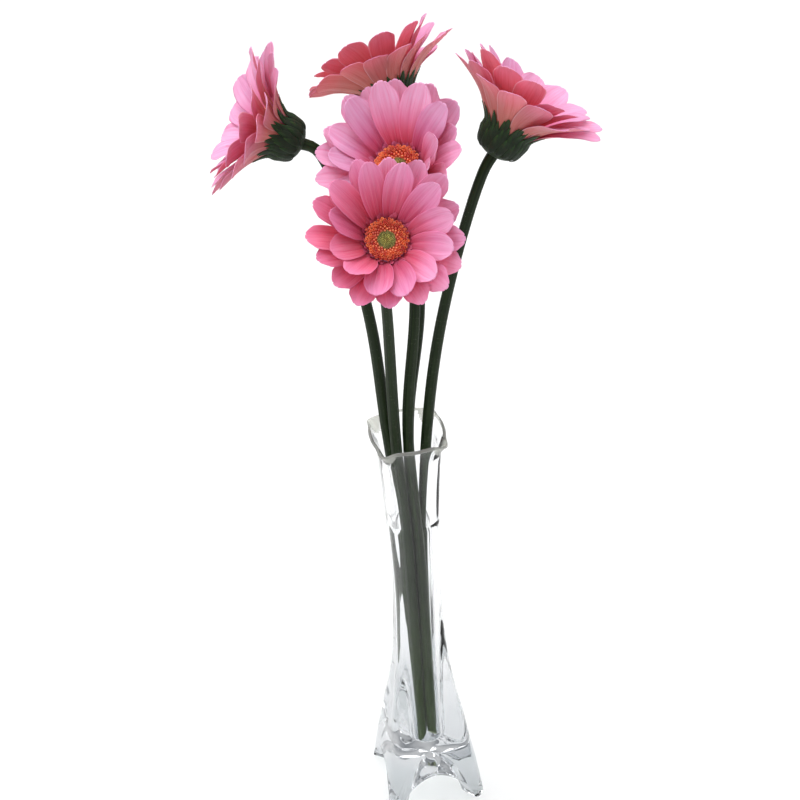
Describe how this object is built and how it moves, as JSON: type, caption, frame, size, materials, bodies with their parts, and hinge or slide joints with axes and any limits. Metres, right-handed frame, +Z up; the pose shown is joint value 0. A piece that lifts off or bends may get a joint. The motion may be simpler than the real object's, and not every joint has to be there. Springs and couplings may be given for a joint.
{
  "type": "gerberas in a glass vase",
  "caption": "Pink gerberas with orange centres standing in a clear glass tower vase with a flared rim drawn out into four lips, a narrow waist and arched corner feet.",
  "frame": {"origin": "on the surface that the vase stands on, under the middle of the whole arrangement's box", "axes": "+Z up, +Y away from the viewer of the picture, +X to the viewer's right"},
  "size_m": [0.2368, 0.2184, 0.566],
  "materials": {
    "glass": "clear, polished",
    "water": "clear liquid",
    "petals": "satin, thin, pink above and dusty pink below",
    "florets": "matt, fine grained",
    "eye": "matt, fine grained",
    "stems": "fresh green, ridged and finely hairy"
  },
  "bodies": {
    "root": {"vase": "glass", "water": "water", "petals_front": "petals", "florets_front": "florets", "eye_front": "eye", "stem_front": "stems", "petals_middle": "petals", "florets_middle": "florets", "eye_middle": "eye", "stem_middle": "stems", "petals_back": "petals", "florets_back": "florets", "eye_back": "eye", "stem_back": "stems", "petals_left": "petals", "florets_left": "florets", "eye_left": "eye", "stem_left": "stems", "petals_right": "petals", "florets_right": "florets", "eye_right": "eye", "stem_right": "stems"}
  },
  "joints": []
}
